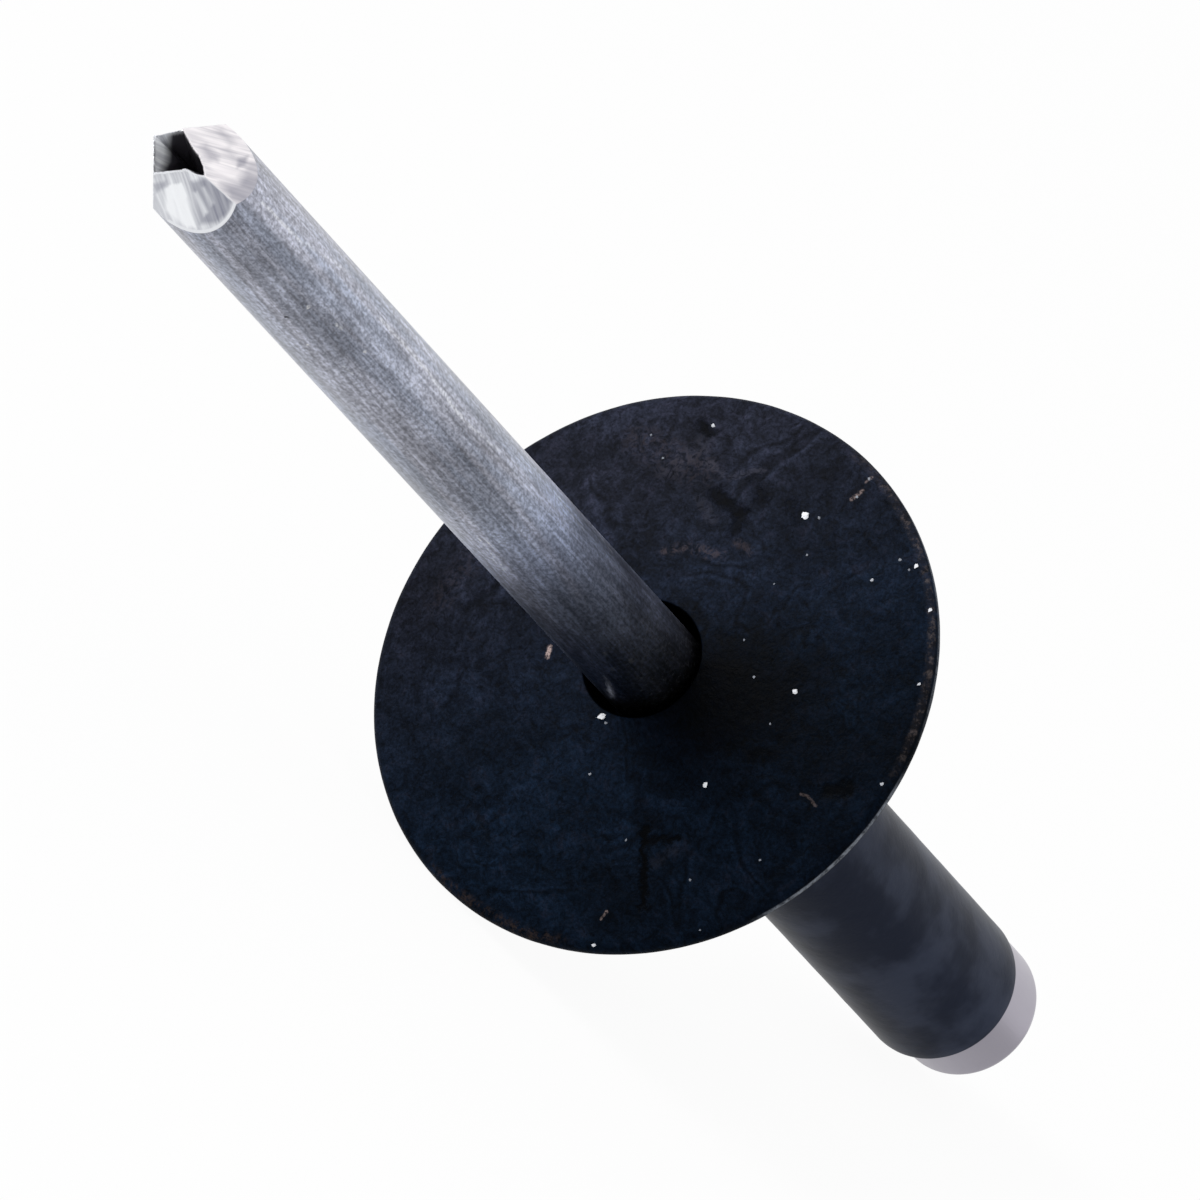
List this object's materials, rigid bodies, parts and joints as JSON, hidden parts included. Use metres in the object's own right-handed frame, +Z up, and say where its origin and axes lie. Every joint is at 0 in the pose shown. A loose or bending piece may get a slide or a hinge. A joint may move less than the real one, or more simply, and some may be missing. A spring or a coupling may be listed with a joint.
{
  "type": "blind rivet",
  "caption": "Blind rivet with a wide domed flange: a black coated sleeve for a drilled hole, on a bare metal mandrel with its head at the far end and a long pinched-off stem",
  "frame": {"origin": "the middle of the underside of the bounding box, on the floor that the rivet lies on", "axes": "+X runs along the floor from the stem's pinched end toward the mandrel's head, +Z is up; the rivet's own axis lies in the XZ plane and leans 13.54 degrees, with the head down and the pinched end up"},
  "size_m": [0.0623, 0.017, 0.0181],
  "materials": {
    "black_coating": "matt black coating with a blue cast, mottled, rubbed through to metal at points of the rim",
    "bare_metal": "drawn wire, dull grey with fine streaks along its length, bright where it was pinched off"
  },
  "bodies": {
    "root": {"rivet_body": "black_coating", "mandrel": "bare_metal"}
  },
  "joints": []
}
